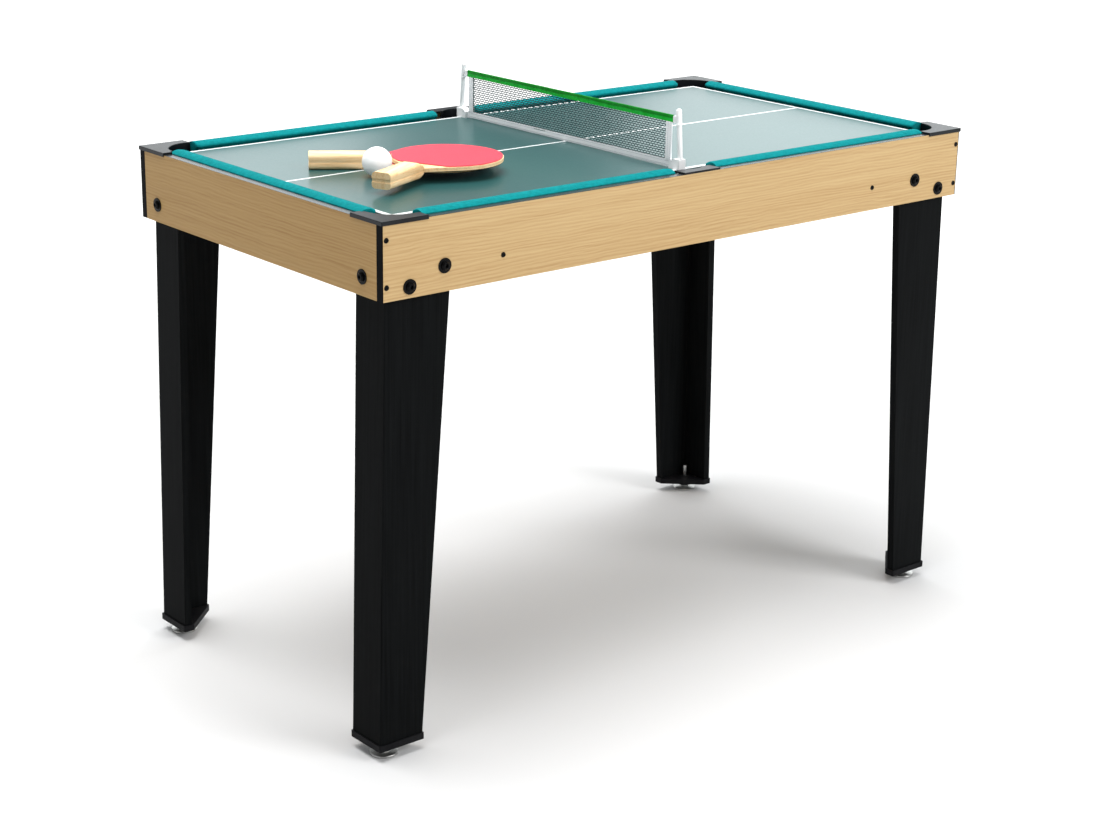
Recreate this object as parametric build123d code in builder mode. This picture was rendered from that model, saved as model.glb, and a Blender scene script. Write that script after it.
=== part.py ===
"""Six-pocket family games table with a table tennis insert, net, two bats and a ball.

Millimetres, +Z up, +X along the table. The origin is on the floor under the middle of the table.
"""

import os
from math import cos, radians, sin

from build123d import *

os.makedirs("parts", exist_ok=True)

# Table carcass
LENGTH = 1060.0  # over the end panels
WIDTH = 577.0  # over the side panels
APRON_TOP = 722.0
APRON_HEIGHT = 98.0
PANEL = 12.0  # thickness of the apron and leg boards
STRIP = 1.2  # black edge banding on the side panels' end edges
HALF_L = LENGTH / 2
HALF_W = WIDTH / 2
APRON_BOTTOM = APRON_TOP - APRON_HEIGHT
INNER_L = HALF_L - PANEL
INNER_W = HALF_W - PANEL

# Playing bed
BED_TOP = 706.0
CLOTH = 0.8
BED_BOARD = 6.0
BED_UNDER = BED_TOP - CLOTH - BED_BOARD
BED_GAP = 0.5  # between the bed's edge and the panels
CORNER_POCKET = 60.0  # pocket centre in from both outer faces
CORNER_HOLE_R = 40.0
SIDE_POCKET = 46.0  # pocket centre in from the outer face
SIDE_HOLE_R = 34.0

# Rails and battens under the bed
RAIL_X = HALF_L - 187.0
RAIL_THICK = 18.0
RAIL_HEIGHT = 54.0
RAIL_SCREW_Z = 657.4
CLEAT = 16.0

# Cushions: offsets inward from the apron's outer face
CUSHION_BACK = 13.0
CUSHION_FOOT = 706.4
CUSHION_BACK_TOP = 722.5
CUSHION_CREST = (23.0, 726.9)  # offset and height
CUSHION_CROWN = (35.5, 724.2)
CUSHION_NOSE = (37.8, 721.5)
CUSHION_LIP = (35.6, 718.6)
CUSHION_FOOT_IN = 27.0
CUSHION_PLAN_R = 12.0  # rounding of the nose's free corners
LONG_CUSHION = (38.0, 460.0)  # from and to, measured from the middle of the table
END_CUSHION = 226.5  # half length

# Pocket plates
OVERHANG = 1.75
PLATE_TOP = 725.0
PLATE_SKIRT = 2.3
CORNER_PLATE = (69.0, 65.0)  # reach along the long and the short side
CORNER_LIP = 60.5  # where the wide part of the short arm ends
CORNER_ARC_R = 43.0
SIDE_PLATE = (32.5, 20.5)  # half length and depth
SIDE_PLATE_TOP = 724.5
SIDE_ARC = (48.0, 33.5)  # centre offset and radius
ARM_DEPTH = 12.8  # short arm beside the end cushion
SKIRT = 1.45
PLATE_CORNER_R = 1.2
TOP_EDGE = 0.6
LINER = 2.0  # wall round the pocket, from the plate down to the bed
LINER_GAP = 1.0  # between the wall and the cushions' ends
SIDE_LINER_FROM = 40.0  # where the side pocket's wall ends, in from the outer face
SIDE_LINER_TOP = 716.0  # beyond the plate; under it the wall runs up to the plate

# Legs
LEG_TOP = 684.0
LEG_BOTTOM = 24.0
LEG_FOOT_X = 530.6  # outer face at the leg's bottom
LEG_SPLAY = 13.0 / 600.0
LEG_WIDE = 99.0  # long flange at the apron's bottom edge
LEG_NARROW = 68.0  # long flange at the leg's bottom
LEG_END_FLANGE = 62.0
LEG_CORNER_R = 2.0
CAP_BOTTOM = 15.0
CAP_LIP = 2.0
BOSS_BOTTOM = 9.0
BOSS_R = 14.0
FOOT_IN_X = 21.5  # foot centre in from the leg's outer corner
FOOT_IN_Y = 22.0
FOOT_R = 19.0
FOOT_DISC = 3.5
FOOT_EDGE = 0.8
FOOT_COLLAR_R = 7.5
STEM_R = 4.0
STEM_TOP = 42.0
STEM_COLLAR_TOP = 8.6
RUNNING = 0.05  # radial running clearance

# Fasteners
BOLT_R = 2.9
BOLT_HOLE_R = 3.1
BOLT_REACH = 31.0  # below the washer
WASHER_R = 9.75
WASHER = 1.2
HEAD_R = 6.0
HEAD_SKIRT = 1.4
HEAD_DOME = 1.9
HEAD_TAPER = 45
SOCKET_R = 2.9
SOCKET_DEPTH = 2.2
NUT_R = 5.8
NUT = 5.0
SCREW_HEAD_R = 3.6
SCREW_HEAD = 1.0
SCREW_TAPER = 25
SCREW_R = 1.8
SCREW_HOLE_R = 2.0
SCREW_REACH = 38.0
SCREW_HOLE_DEPTH = 28.0
DRIVE_R = 1.5
SIDE_BOLTS = ((HALF_L - 40.7, 638.5), (HALF_L - 94.3, 657.3))  # x and z
END_BOLT = (HALF_W - 42.5, 648.5)  # y and z
PANEL_SCREW_Z = (701.0, 642.0)

# Table tennis board
BOARD_IN = 44.5  # the board's edge in from the table's
BOARD_LENGTH = LENGTH - 2 * BOARD_IN
BOARD_WIDTH = WIDTH - 2 * BOARD_IN
BOARD = 12.0
BOARD_TOP = BED_TOP + BOARD
BOARD_CORNER_R = 3.0
BOARD_EDGE = 0.5

# Net
POST_Y = HALF_W - 44.6  # at the post's foot
POST_LEAN = 5.0  # degrees towards the net
POST_R = 3.45
POST = 68.0  # length above the clamp
CAP_R = 3.9
CAP_LENGTH = 22.0
CAP_RIM = 0.5
CAP_DOME = 1.95  # height of the cap's faceted dome
CAP_SHOULDER_R = 3.1
CAP_FLAT_R = 1.95
PIN_R = 2.0
PIN_FOOT = 720.0
PIN_SPARE = 0.3  # depth of the pin's hole beyond the pin
SEAT_GAP = 0.1  # between the leaning post's foot and the clamp
JAW_TOP = 732.0
JAW_SHOULDER = (236.5, 227.0)  # where the jaw's top starts to slope, and its inner end
JAW_IN_TOP = 727.5
CLAMP_OUT = 248.3
CLAMP_WEB = 4.0
CLAMP_HALF = 6.0
LOWER_JAW = (694.0, 699.0)
LOWER_JAW_IN = 231.0
CLIP = 3.0  # the small square recess for the net's cord
CLIP_AT = (232.5, 728.0)  # y and z
TAB_HALF = 1.5
TAB = 9.0  # height of the tab between post and tape
TAB_GAP = 0.2
THUMB_R = 7.5
THUMB_Z = (676.0, 684.0)
THUMB_GRIPS = 10
GRIP_R = 1.8
THREAD_R = 2.5
PAD_R = 4.0
PAD_Z = (703.8, 705.8)
SCREW_IN_Y = 238.0
NET_HALF = 226.0
NET_FOOT = 718.6
MESH_THICK = 0.8
TAPE = 10.0
TAPE_THICK = 2.4
TAPE_FOLD_R = 1.0
TAPE_FROM = 780.5
TAPE_HALF = 228.5
BINDING = 11.0  # width of the side bindings
BOTTOM_BINDING = 9.4
BINDING_THICK = 1.6

# Bats: each frame's origin is the middle of its blade, and its x axis points away from the handle
BLADE_R = 76.0
BLADE = 5.0
RUBBER_R = 75.0
RUBBER = 1.2
RUBBER_CHORD = -66.0
NECK_X = -90.0
NECK_TANGENT = (-56.6, 50.8)
TANG_IN = 0.5  # the blade's tang is this much inside the handle scales
HANDLE_END = -175.0
HANDLE_NEAR = -86.0
HANDLE_SLOPE = 13.0
HANDLE_HALF = 14.0
HANDLE_THICK = 22.0
HANDLE_EDGE_R = 5.5
LOWER_BAT = ((-262.1, -45.5), -34.5)  # middle of the blade and heading
UPPER_BAT = ((-266.0, -70.0), 24.0)
BAT_LIFT = 2 * (BLADE / 2 + RUBBER) + 0.2  # the upper bat lies on the lower bat's rubber

BALL_R = 20.0
BALL_WALL = 0.4
BALL_XY = (-363.6, -44.8)

CORNERS = {
    "front_left": (-1, -1),
    "front_right": (1, -1),
    "back_left": (-1, 1),
    "back_right": (1, 1),
}
SIDES = {"front": -1, "back": 1}
ENDS = {"left": -1, "right": 1}


def save(piece, node):
    """Labels a finished piece and writes it as its own node."""
    piece.part.label = node
    export_step(piece.part, f"parts/{node}.step")


def low(sign, face, depth):
    """The lower coordinate of a board of that depth whose outer face is at sign * face."""
    return -face if sign < 0 else face - depth


def leg_face(z):
    """How far out the leg's outer end face is at a height."""
    return LEG_FOOT_X - (z - LEG_BOTTOM) * LEG_SPLAY


def outward_y(x, sign, z):
    """A plane on a side panel's outer face, facing out."""
    return Plane(origin=(x, sign * HALF_W, z), x_dir=(1, 0, 0), z_dir=(0, sign, 0))


def outward_x(sign, y, z):
    """A plane on an end panel's outer face, facing out."""
    return Plane(origin=(sign * HALF_L, y, z), x_dir=(0, 1, 0), z_dir=(sign, 0, 0))


LEFT_RIGHT = (-1, 1)
SIDE_BOLT_SPOTS = [(sx * x, z) for sx in LEFT_RIGHT for x, z in SIDE_BOLTS]
END_BOLT_SPOTS = [(sy * END_BOLT[0], END_BOLT[1]) for sy in LEFT_RIGHT]
SIDE_BOLT_PLANES = [outward_y(x, sy, z) for sy in LEFT_RIGHT for x, z in SIDE_BOLT_SPOTS]
END_BOLT_PLANES = [outward_x(sx, y, z) for sx in LEFT_RIGHT for y, z in END_BOLT_SPOTS]
BOLT_PLANES = SIDE_BOLT_PLANES + END_BOLT_PLANES
PANEL_SCREW_SPOTS = [(sx * (HALF_L - PANEL / 2), z) for sx in LEFT_RIGHT for z in PANEL_SCREW_Z]
RAIL_SCREW_SPOTS = [(sx * RAIL_X, RAIL_SCREW_Z) for sx in LEFT_RIGHT]
SCREW_SPOTS = PANEL_SCREW_SPOTS + RAIL_SCREW_SPOTS

# ---------------------------------------------------------------- carcass

for side, sy in SIDES.items():
    with BuildPart() as side_panel:
        with BuildSketch(Plane.XZ.offset(-low(sy, HALF_W, PANEL))):
            with Locations((0, APRON_BOTTOM + APRON_HEIGHT / 2)):
                Rectangle(LENGTH - 2 * STRIP, APRON_HEIGHT)
            with Locations(*SIDE_BOLT_SPOTS):
                Circle(BOLT_HOLE_R, mode=Mode.SUBTRACT)
            with Locations(*SCREW_SPOTS):
                Circle(SCREW_HOLE_R, mode=Mode.SUBTRACT)
        extrude(amount=-PANEL)
    save(side_panel, f"side_panel_{side}")

for end, sx in ENDS.items():
    with BuildPart() as end_panel:
        with BuildSketch(Plane.YZ.offset(low(sx, HALF_L, PANEL))):
            with Locations((0, APRON_BOTTOM + APRON_HEIGHT / 2)):
                Rectangle(2 * INNER_W, APRON_HEIGHT)
            with Locations(*END_BOLT_SPOTS):
                Circle(BOLT_HOLE_R, mode=Mode.SUBTRACT)
        extrude(amount=PANEL)
        for sy in LEFT_RIGHT:
            hole_y = sy * (INNER_W - SCREW_HOLE_DEPTH / 2)
            for z in PANEL_SCREW_Z:
                with Locations((sx * (HALF_L - PANEL / 2), hole_y, z)):
                    Cylinder(
                        SCREW_HOLE_R,
                        SCREW_HOLE_DEPTH,
                        rotation=(90, 0, 0),
                        mode=Mode.SUBTRACT,
                    )
    save(end_panel, f"end_panel_{end}")

with BuildPart() as edge_strips:
    for sx, sy in CORNERS.values():
        strip_at = (
            sx * (HALF_L - STRIP / 2),
            sy * (HALF_W - PANEL / 2),
            APRON_BOTTOM + APRON_HEIGHT / 2,
        )
        with Locations(strip_at):
            Box(STRIP, PANEL, APRON_HEIGHT)
save(edge_strips, "edge_strips")

with BuildPart() as wood_screws:
    for sy in LEFT_RIGHT:
        for x, z in SCREW_SPOTS:
            face = outward_y(x, sy, z)
            with BuildSketch(face):
                Circle(SCREW_HEAD_R)
            extrude(amount=SCREW_HEAD, taper=SCREW_TAPER)
            with BuildSketch(face):
                Circle(SCREW_R)
            extrude(amount=-SCREW_REACH)
            with BuildSketch(face.offset(SCREW_HEAD)):
                Rectangle(2 * DRIVE_R, DRIVE_R / 2)
                Rectangle(DRIVE_R / 2, 2 * DRIVE_R)
            extrude(amount=-SCREW_HEAD, mode=Mode.SUBTRACT)
save(wood_screws, "wood_screws")

with BuildPart() as cross_rails:
    for sx in LEFT_RIGHT:
        with Locations((sx * RAIL_X, 0, BED_UNDER - RAIL_HEIGHT / 2)):
            Box(RAIL_THICK, 2 * INNER_W, RAIL_HEIGHT)
        for sy in LEFT_RIGHT:
            hole_y = sy * (INNER_W - SCREW_HOLE_DEPTH / 2)
            with Locations((sx * RAIL_X, hole_y, RAIL_SCREW_Z)):
                Cylinder(
                    SCREW_HOLE_R,
                    SCREW_HOLE_DEPTH,
                    rotation=(90, 0, 0),
                    mode=Mode.SUBTRACT,
                )
save(cross_rails, "cross_rails")

CLEAT_FROM = 52.0  # clear of the side pocket cup
CLEAT_TO = RAIL_X - RAIL_THICK / 2 - 1.0
END_CLEAT_HALF = 160.0
with BuildPart() as bed_cleats:
    for sx, sy in CORNERS.values():
        cleat_at = (
            sx * (CLEAT_FROM + CLEAT_TO) / 2,
            sy * (INNER_W - CLEAT / 2),
            BED_UNDER - CLEAT / 2,
        )
        with Locations(cleat_at):
            Box(CLEAT_TO - CLEAT_FROM, CLEAT, CLEAT)
    with Locations(*[(sx * (INNER_L - CLEAT / 2), 0, BED_UNDER - CLEAT / 2) for sx in LEFT_RIGHT]):
        Box(CLEAT, 2 * END_CLEAT_HALF, CLEAT)
save(bed_cleats, "bed_cleats")

# ---------------------------------------------------------------- bed and pockets

CORNER_HOLES = [
    (sx * (HALF_L - CORNER_POCKET), sy * (HALF_W - CORNER_POCKET)) for sx, sy in CORNERS.values()
]
SIDE_HOLE_Y = HALF_W - SIDE_POCKET


def bed_layer(z, thickness):
    """One layer of the bed, with four round corner holes and two U-shaped side notches."""
    with BuildPart() as layer:
        with BuildSketch(Plane.XY.offset(z)):
            Rectangle(2 * (INNER_L - BED_GAP), 2 * (INNER_W - BED_GAP))
            with Locations(*CORNER_HOLES):
                Circle(CORNER_HOLE_R, mode=Mode.SUBTRACT)
            with Locations(*[(0, sy * SIDE_HOLE_Y) for sy in LEFT_RIGHT]):
                Circle(SIDE_HOLE_R, mode=Mode.SUBTRACT)
            with Locations(*[(0, sy * (SIDE_HOLE_Y + SIDE_HOLE_R / 2)) for sy in LEFT_RIGHT]):
                Rectangle(2 * SIDE_HOLE_R, SIDE_HOLE_R, mode=Mode.SUBTRACT)
        extrude(amount=thickness)
    return layer


save(bed_layer(BED_UNDER, BED_BOARD), "bed_board")
save(bed_layer(BED_TOP - CLOTH, CLOTH), "bed_cloth")

CUP_BOTTOM = 668.0
CUP_FLANGE = 2.0
CUP_WALL = 1.8
CUP_NECK_Z = 684.0
CORNER_CUP = (46.0, 39.6, 33.4, 32.0)  # flange, mouth, neck and bottom radii
SIDE_CUP = (40.0, 33.3, 32.6, 31.0)


def pocket_cup(x, y, radii):
    """A moulded cup with a flange under the bed, turned about its own axis."""
    flange, mouth, neck, bottom = radii
    with BuildPart() as cup:
        with BuildSketch(Plane(origin=(x, y, 0), x_dir=(1, 0, 0), z_dir=(0, -1, 0))):
            with BuildLine():
                Polyline(
                    (0, CUP_BOTTOM),
                    (bottom, CUP_BOTTOM),
                    (neck, CUP_NECK_Z),
                    (mouth, BED_UNDER - CUP_FLANGE),
                    (flange, BED_UNDER - CUP_FLANGE),
                    (flange, BED_UNDER),
                    (mouth - CUP_WALL, BED_UNDER),
                    (neck - CUP_WALL, CUP_NECK_Z),
                    (bottom - CUP_WALL, CUP_BOTTOM + CUP_WALL),
                    (0, CUP_BOTTOM + CUP_WALL),
                    close=True,
                )
            make_face()
        revolve(axis=Axis((x, y, 0), (0, 0, 1)))
        # the side cups' flanges are cut back to the panel
        with BuildSketch(Plane.XY.offset(CUP_BOTTOM)):
            Rectangle(2 * INNER_L, 2 * (INNER_W - BED_GAP))
        extrude(amount=BED_UNDER - CUP_BOTTOM, mode=Mode.INTERSECT)
    return cup


for (corner, _), (x, y) in zip(CORNERS.items(), CORNER_HOLES):
    save(pocket_cup(x, y, CORNER_CUP), f"pocket_cup_{corner}")
for side, sy in SIDES.items():
    save(pocket_cup(0, sy * SIDE_HOLE_Y, SIDE_CUP), f"pocket_cup_{side}_middle")

# ---------------------------------------------------------------- cushions

PLAN_SPARE = 1.2  # the plan rounding starts this far beyond the nose


def cushion(rail, length):
    """A cushion on a rail plane, whose x runs along the apron and whose y points inward."""
    with BuildPart() as strip:
        start = rail.from_local_coords((-length / 2, 0, 0))
        with BuildSketch(Plane(origin=start, x_dir=rail.y_dir, z_dir=rail.x_dir)):
            with BuildLine():
                foot = (CUSHION_BACK, CUSHION_FOOT)
                back = (CUSHION_BACK, CUSHION_BACK_TOP)
                under = (CUSHION_FOOT_IN, CUSHION_FOOT)
                Line(foot, back)
                ThreePointArc(back, CUSHION_CREST, CUSHION_CROWN)
                ThreePointArc(CUSHION_CROWN, CUSHION_NOSE, CUSHION_LIP)
                Line(CUSHION_LIP, under)
                Line(under, foot)
            make_face()
        extrude(amount=length)
        # the two free corners of the nose are rounded in plan
        reach = CUSHION_NOSE[0] + PLAN_SPARE
        with BuildSketch(rail.offset(CUSHION_FOOT)) as plan:
            with Locations((0, (CUSHION_BACK + reach) / 2)):
                Rectangle(length, reach - CUSHION_BACK)
            free = plan.vertices().filter_by_position(Axis.Y, reach - 1.0, reach + 1.0)
            fillet(free, CUSHION_PLAN_R)
        extrude(amount=CUSHION_CREST[1] - CUSHION_FOOT + 1.0, mode=Mode.INTERSECT)
    return strip


LONG_MIDDLE = sum(LONG_CUSHION) / 2
LONG_SPAN = LONG_CUSHION[1] - LONG_CUSHION[0]
for side, sy in SIDES.items():
    for end, sx in ENDS.items():
        side_rail = Plane(
            origin=(sx * LONG_MIDDLE, sy * HALF_W, 0), x_dir=(-sy, 0, 0), z_dir=(0, 0, 1)
        )
        save(cushion(side_rail, LONG_SPAN), f"cushion_{side}_{end}")
for end, sx in ENDS.items():
    end_rail = Plane(origin=(sx * HALF_L, 0, 0), x_dir=(0, sx, 0), z_dir=(0, 0, 1))
    save(cushion(end_rail, 2 * END_CUSHION), f"cushion_{end}_end")

# ---------------------------------------------------------------- pocket plates


def between(sx, sy, x_from, x_to, y_from, y_to, mode=Mode.ADD):
    """A rectangle given by its offsets in from a corner of the table."""
    at_x = sx * (HALF_L - (x_from + x_to) / 2)
    at_y = sy * (HALF_W - (y_from + y_to) / 2)
    with Locations((at_x, at_y)):
        Rectangle(x_to - x_from, y_to - y_from, mode=mode)


for corner, (sx, sy) in CORNERS.items():
    with BuildPart() as corner_plate:
        with BuildSketch(Plane.XY.offset(APRON_TOP)):
            between(sx, sy, -OVERHANG, CORNER_PLATE[0], -OVERHANG, CORNER_LIP)
            between(sx, sy, -OVERHANG, ARM_DEPTH, 0, CORNER_PLATE[1])
            pocket_at = (sx * (HALF_L - CORNER_POCKET), sy * (HALF_W - CORNER_POCKET))
            with Locations(pocket_at):
                Circle(CORNER_ARC_R, mode=Mode.SUBTRACT)
        extrude(amount=PLATE_TOP - APRON_TOP)
        with BuildSketch(Plane.XY.offset(APRON_TOP - PLATE_SKIRT)):
            between(sx, sy, -OVERHANG, CORNER_PLATE[0], -OVERHANG, -OVERHANG + SKIRT)
            between(sx, sy, -OVERHANG, -OVERHANG + SKIRT, -OVERHANG, CORNER_PLATE[1])
        extrude(amount=PLATE_SKIRT)
        with BuildSketch(Plane.XY.offset(CUSHION_FOOT)):
            with Locations(pocket_at):
                Circle(CORNER_ARC_R + LINER)
                Circle(CORNER_ARC_R, mode=Mode.SUBTRACT)
            wall_x = HALF_L - LONG_CUSHION[1] - LINER_GAP
            wall_y = HALF_W - END_CUSHION - LINER_GAP
            between(sx, sy, 0, wall_x, 0, wall_y, Mode.INTERSECT)
        extrude(amount=APRON_TOP - CUSHION_FOOT)
        outer = corner_plate.edges().filter_by(Axis.Z)
        beyond = 2 * OVERHANG
        outer = outer.sort_by_distance((sx * (HALF_L + beyond), sy * (HALF_W + beyond), APRON_TOP))
        fillet(outer[:1], PLATE_CORNER_R)
        chamfer(corner_plate.faces().sort_by(Axis.Z)[-1].edges(), TOP_EDGE)
    save(corner_plate, f"corner_plate_{corner}")

for side, sy in SIDES.items():
    with BuildPart() as side_plate:
        with BuildSketch(Plane.XY.offset(APRON_TOP)):
            with Locations((0, sy * (HALF_W - (SIDE_PLATE[1] - OVERHANG / 2) / 2))):
                Rectangle(2 * SIDE_PLATE[0], SIDE_PLATE[1] + OVERHANG / 2)
            with Locations((0, sy * (HALF_W - SIDE_ARC[0]))):
                Circle(SIDE_ARC[1], mode=Mode.SUBTRACT)
        extrude(amount=SIDE_PLATE_TOP - APRON_TOP)
        walls = ((SIDE_LINER_FROM, SIDE_LINER_TOP), (SIDE_PLATE[1] - OVERHANG, SIDE_PLATE_TOP))
        for wall_in, wall_top in walls:
            with BuildSketch(Plane.XY.offset(CUSHION_FOOT)):
                with Locations((0, sy * (HALF_W - SIDE_ARC[0]))):
                    Circle(SIDE_ARC[1] + LINER)
                    Circle(SIDE_ARC[1], mode=Mode.SUBTRACT)
                with Locations((0, sy * (HALF_W - wall_in / 2))):
                    Rectangle(LENGTH, wall_in, mode=Mode.INTERSECT)
            extrude(amount=wall_top - CUSHION_FOOT)
        chamfer(side_plate.faces().sort_by(Axis.Z)[-1].edges(), TOP_EDGE)
    save(side_plate, f"side_plate_{side}")

# ---------------------------------------------------------------- legs and feet

for corner, (sx, sy) in CORNERS.items():
    top_x = leg_face(LEG_TOP)
    wide_x = leg_face(APRON_BOTTOM) - LEG_WIDE
    with BuildPart() as leg:
        with BuildSketch(Plane.XZ.offset(-low(sy, INNER_W, PANEL))):
            with BuildLine():
                Polyline(
                    (sx * top_x, LEG_TOP),
                    (sx * LEG_FOOT_X, LEG_BOTTOM),
                    (sx * (LEG_FOOT_X - LEG_NARROW), LEG_BOTTOM),
                    (sx * wide_x, APRON_BOTTOM),
                    (sx * wide_x, LEG_TOP),
                    close=True,
                )
            make_face()
        extrude(amount=-PANEL)
        with BuildSketch(Plane.XZ.offset(-low(sy, INNER_W, LEG_END_FLANGE))):
            with BuildLine():
                Polyline(
                    (sx * top_x, LEG_TOP),
                    (sx * LEG_FOOT_X, LEG_BOTTOM),
                    (sx * (LEG_FOOT_X - PANEL), LEG_BOTTOM),
                    (sx * (top_x - PANEL), LEG_TOP),
                    close=True,
                )
            make_face()
        extrude(amount=-LEG_END_FLANGE)
        middle_z = (LEG_TOP + LEG_BOTTOM) / 2
        on_corner = (sx * leg_face(middle_z), sy * INNER_W, middle_z)
        fillet(leg.edges().sort_by_distance(on_corner)[:1], LEG_CORNER_R)
        for x, z in SIDE_BOLTS:
            with Locations((sx * x, sy * (INNER_W - PANEL / 2), z)):
                Cylinder(BOLT_HOLE_R, 2 * PANEL, rotation=(90, 0, 0), mode=Mode.SUBTRACT)
        bolt_y, bolt_z = END_BOLT
        with Locations((sx * (leg_face(bolt_z) - PANEL / 2), sy * bolt_y, bolt_z)):
            Cylinder(BOLT_HOLE_R, 2 * PANEL, rotation=(0, 90, 0), mode=Mode.SUBTRACT)
    save(leg, f"leg_{corner}")

    foot_x = sx * (LEG_FOOT_X - FOOT_IN_X)
    foot_y = sy * (INNER_W - FOOT_IN_Y)
    far_x = LEG_FOOT_X + CAP_LIP
    far_y = INNER_W + CAP_LIP
    near_x = LEG_FOOT_X - LEG_NARROW - CAP_LIP
    near_y = INNER_W - LEG_END_FLANGE - CAP_LIP
    with BuildPart() as leg_cap:
        with BuildSketch(Plane.XY.offset(CAP_BOTTOM)) as cap_plan:
            with BuildLine():
                Polyline(
                    (sx * far_x, sy * far_y),
                    (sx * near_x, sy * far_y),
                    (sx * near_x, sy * (far_y - PANEL - 2 * CAP_LIP)),
                    (sx * (far_x - PANEL - 2 * CAP_LIP), sy * near_y),
                    (sx * far_x, sy * near_y),
                    close=True,
                )
            make_face()
            fillet(cap_plan.vertices(), CAP_LIP)
        extrude(amount=LEG_BOTTOM - CAP_BOTTOM)
        with BuildSketch(Plane.XY.offset(BOSS_BOTTOM)):
            with Locations((foot_x, foot_y)):
                Circle(BOSS_R)
        extrude(amount=CAP_BOTTOM - BOSS_BOTTOM)
        with Locations((foot_x, foot_y, LEG_BOTTOM)):
            Hole(STEM_R + RUNNING)
    save(leg_cap, f"leg_cap_{corner}")

    with BuildPart() as foot:
        with BuildSketch(Plane(origin=(foot_x, foot_y, 0))):
            Circle(FOOT_R)
        extrude(amount=FOOT_DISC)
        chamfer(foot.edges().filter_by(GeomType.CIRCLE), FOOT_EDGE)
        with BuildSketch(Plane(origin=(foot_x, foot_y, FOOT_DISC))):
            RegularPolygon(radius=FOOT_COLLAR_R, side_count=6)
        extrude(amount=STEM_COLLAR_TOP - FOOT_DISC)
        with BuildSketch(Plane(origin=(foot_x, foot_y, STEM_COLLAR_TOP))):
            Circle(STEM_R)
        extrude(amount=STEM_TOP - STEM_COLLAR_TOP)
    save(foot, f"foot_{corner}")

# ---------------------------------------------------------------- leg bolts

with BuildPart() as leg_bolts:
    for face in BOLT_PLANES:
        seat = face.offset(WASHER)
        with BuildSketch(seat):
            Circle(BOLT_R)
        extrude(amount=-BOLT_REACH)
        with BuildSketch(seat):
            Circle(HEAD_R)
        extrude(amount=HEAD_SKIRT)
        with BuildSketch(seat.offset(HEAD_SKIRT)):
            Circle(HEAD_R)
        extrude(amount=HEAD_DOME, taper=HEAD_TAPER)
        with BuildSketch(seat.offset(HEAD_SKIRT + HEAD_DOME)):
            RegularPolygon(radius=SOCKET_R, side_count=6)
        extrude(amount=-SOCKET_DEPTH, mode=Mode.SUBTRACT)
save(leg_bolts, "leg_bolts")

with BuildPart() as leg_washers:
    for face in BOLT_PLANES:
        with BuildSketch(face):
            Circle(WASHER_R)
            Circle(BOLT_HOLE_R, mode=Mode.SUBTRACT)
        extrude(amount=WASHER)
save(leg_washers, "leg_washers")

# the nuts stand just off the leg boards' inner faces
SIDE_NUT_AT = 2 * PANEL + 0.2
END_NUT_AT = HALF_L - (leg_face(END_BOLT[1]) - PANEL) + 0.4
with BuildPart() as leg_nuts:
    for planes, depth in ((SIDE_BOLT_PLANES, SIDE_NUT_AT), (END_BOLT_PLANES, END_NUT_AT)):
        for face in planes:
            with BuildSketch(face.offset(-depth)):
                RegularPolygon(radius=NUT_R, side_count=6)
                Circle(BOLT_R + RUNNING, mode=Mode.SUBTRACT)
            extrude(amount=-NUT)
save(leg_nuts, "leg_nuts")

# ---------------------------------------------------------------- table tennis board and net

with BuildPart() as tennis_board:
    with BuildSketch(Plane.XY.offset(BED_TOP)):
        RectangleRounded(BOARD_LENGTH, BOARD_WIDTH, BOARD_CORNER_R)
    extrude(amount=BOARD)
    chamfer(tennis_board.faces().sort_by(Axis.Z)[-1].edges(), BOARD_EDGE)
save(tennis_board, "tennis_board")

for side, sy in SIDES.items():
    web_y = CLAMP_OUT - CLAMP_WEB
    shoulder_y, jaw_in = JAW_SHOULDER
    with BuildPart() as clamp:
        with BuildSketch(Plane.YZ.offset(-CLAMP_HALF)):
            with BuildLine():
                Polyline(
                    (sy * jaw_in, BOARD_TOP),
                    (sy * jaw_in, JAW_IN_TOP),
                    (sy * shoulder_y, JAW_TOP),
                    (sy * CLAMP_OUT, JAW_TOP),
                    (sy * CLAMP_OUT, LOWER_JAW[0]),
                    (sy * LOWER_JAW_IN, LOWER_JAW[0]),
                    (sy * LOWER_JAW_IN, LOWER_JAW[1]),
                    (sy * web_y, LOWER_JAW[1]),
                    (sy * web_y, BOARD_TOP),
                    close=True,
                )
            make_face()
        extrude(amount=2 * CLAMP_HALF)
        with Locations((0, sy * POST_Y, JAW_TOP)):
            Hole(PIN_R + RUNNING, JAW_TOP - PIN_FOOT + PIN_SPARE)
        with Locations((0, sy * SCREW_IN_Y, LOWER_JAW[1])):
            Hole(THREAD_R + RUNNING, LOWER_JAW[1] - LOWER_JAW[0])
        for sx in LEFT_RIGHT:
            with Locations((sx * CLAMP_HALF, sy * CLIP_AT[0], CLIP_AT[1])):
                Box(CLIP, CLIP, CLIP, mode=Mode.SUBTRACT)
    save(clamp, f"net_clamp_{side}")

    with BuildPart() as clamp_screw:
        with BuildSketch(Plane(origin=(0, sy * SCREW_IN_Y, THUMB_Z[0]))):
            Circle(THUMB_R)
            with PolarLocations(THUMB_R + GRIP_R / 2, THUMB_GRIPS):
                Circle(GRIP_R, mode=Mode.SUBTRACT)
        extrude(amount=THUMB_Z[1] - THUMB_Z[0])
        with BuildSketch(Plane(origin=(0, sy * SCREW_IN_Y, THUMB_Z[1]))):
            Circle(THREAD_R)
        extrude(amount=PAD_Z[0] - THUMB_Z[1])
        with BuildSketch(Plane(origin=(0, sy * SCREW_IN_Y, PAD_Z[0]))):
            Circle(PAD_R)
        extrude(amount=PAD_Z[1] - PAD_Z[0])
    save(clamp_screw, f"clamp_screw_{side}")

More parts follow.
